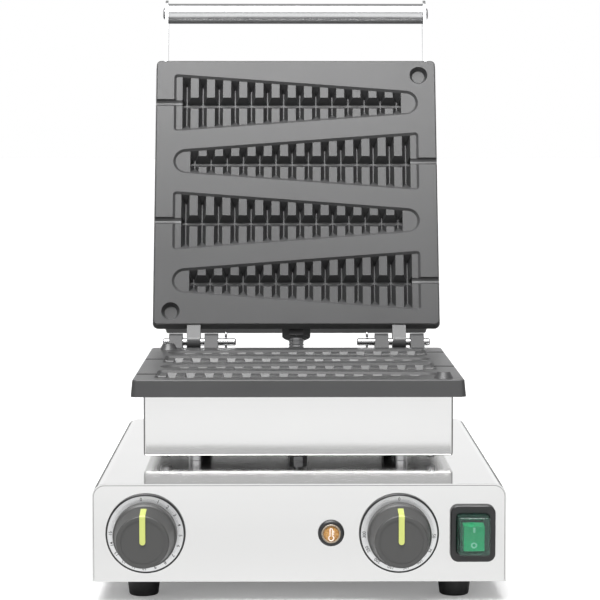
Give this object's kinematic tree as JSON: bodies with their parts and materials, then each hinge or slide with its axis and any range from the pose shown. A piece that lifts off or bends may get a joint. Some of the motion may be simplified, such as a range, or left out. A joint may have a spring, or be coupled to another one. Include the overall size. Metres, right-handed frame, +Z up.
{
  "type": "lollipop waffle maker",
  "caption": "Countertop waffle maker with a hinged cast lid, stick waffle moulds, tube handle, steel cabinet, timer and thermostat dials, pilot lamp and rocker switch.",
  "frame": {"origin": "on the floor under the middle of the whole object's box with the lid open, between the knob faces and the handle", "axes": "+X to the right seen from the front, +Y from the front panel towards the hinge, +Z up"},
  "size_m": [0.3102, 0.5342, 0.471],
  "materials": {
    "stainless_sheet": "bright rolled stainless sheet, near mirror",
    "plate_coating": "cast aluminium with dark grey non-stick coating, satin",
    "handle_steel": "satin stainless tube and strip",
    "bright_fastener": "bright zinc plated steel",
    "post_steel": "polished steel",
    "foot_rubber": "black rubber",
    "black_plastic": "black moulded plastic",
    "knob_grey": "grey satin moulded plastic",
    "pointer_yellow": "pale yellow-green inlay",
    "scale_silver": "satin silver dial plate with dark printed numbers",
    "shaft_steel": "plain steel",
    "lens_amber": "amber faceted lens",
    "clear_boot": "clear silicone splash boot",
    "rocker_green": "green moulded rocker with I and O",
    "element_steel": "heat darkened steel sheath",
    "insulation_fibre": "ceramic fibre board",
    "terminal_white": "white moulded block",
    "gland_metal": "dark plated steel",
    "conduit_steel": "corrugated flexible steel conduit"
  },
  "bodies": {
    "base": {"base_shell": "stainless_sheet", "front_panel": "stainless_sheet", "rear_panel": "stainless_sheet", "bottom_plate": "stainless_sheet", "foot_front_left": "foot_rubber", "foot_front_right": "foot_rubber", "foot_rear_left": "foot_rubber", "foot_rear_right": "foot_rubber", "foot_screws": "bright_fastener", "panel_screws": "bright_fastener", "support_posts": "post_steel", "post_bolts": "bright_fastener", "post_nuts": "bright_fastener", "heater_box": "stainless_sheet", "lower_plate": "plate_coating", "lower_plate_screws": "bright_fastener", "lower_heating_element": "element_steel", "lower_element_clamp": "shaft_steel", "lower_insulation": "insulation_fibre", "wire_sleeve": "black_plastic", "sleeve_gland_nut": "gland_metal", "timer_bezel": "black_plastic", "timer_scale_ring": "scale_silver", "timer_body": "black_plastic", "thermostat_bezel": "black_plastic", "thermostat_scale_ring": "scale_silver", "thermostat_body": "black_plastic", "thermostat_bulb": "element_steel", "lamp_bezel": "black_plastic", "lamp_lens": "lens_amber", "lamp_body": "black_plastic", "switch_frame": "black_plastic", "switch_boot": "clear_boot", "switch_body": "black_plastic", "terminal_block": "terminal_white", "mains_gland": "gland_metal", "base_conduit_gland": "gland_metal", "hinge_pin_left": "post_steel", "hinge_pin_right": "post_steel", "split_pins": "bright_fastener", "conduit": "conduit_steel"},
    "lid": {"lid_plate": "plate_coating", "lid_casing": "stainless_sheet", "lid_plate_screws": "bright_fastener", "lid_heating_element": "element_steel", "lid_element_clamp": "shaft_steel", "lid_insulation": "insulation_fibre", "handle_arm_left": "handle_steel", "handle_arm_right": "handle_steel", "handle_tube": "handle_steel", "handle_screws": "bright_fastener", "lid_conduit_gland": "gland_metal"},
    "timer_dial": {"timer_knob": "knob_grey", "timer_pointer": "pointer_yellow", "timer_shaft": "shaft_steel"},
    "thermostat_dial": {"thermostat_knob": "knob_grey", "thermostat_pointer": "pointer_yellow", "thermostat_shaft": "shaft_steel"},
    "rocker": {"power_rocker": "rocker_green"}
  },
  "joints": [
    {"name": "lid_hinge", "type": "hinge", "parent": "base", "child": "lid", "pos_m": [0, 0.1229, 0.1581], "axis": [1, 0, 0], "range_deg": [0, 107.9], "deforming": ["conduit"]},
    {"name": "timer_turn", "type": "hinge", "parent": "base", "child": "timer_dial", "pos_m": [-0.1129, -0.2307, 0.0515], "axis": [0, 1, 0], "range_deg": [0, 270]},
    {"name": "thermostat_turn", "type": "hinge", "parent": "base", "child": "thermostat_dial", "pos_m": [0.0733, -0.2307, 0.0515], "axis": [0, 1, 0], "range_deg": [0, 268]},
    {"name": "power_rock", "type": "hinge", "parent": "base", "child": "rocker", "pos_m": [0.1275, -0.2277, 0.0515], "axis": [-1, 0, 0], "range_deg": [0, 14]}
  ]
}
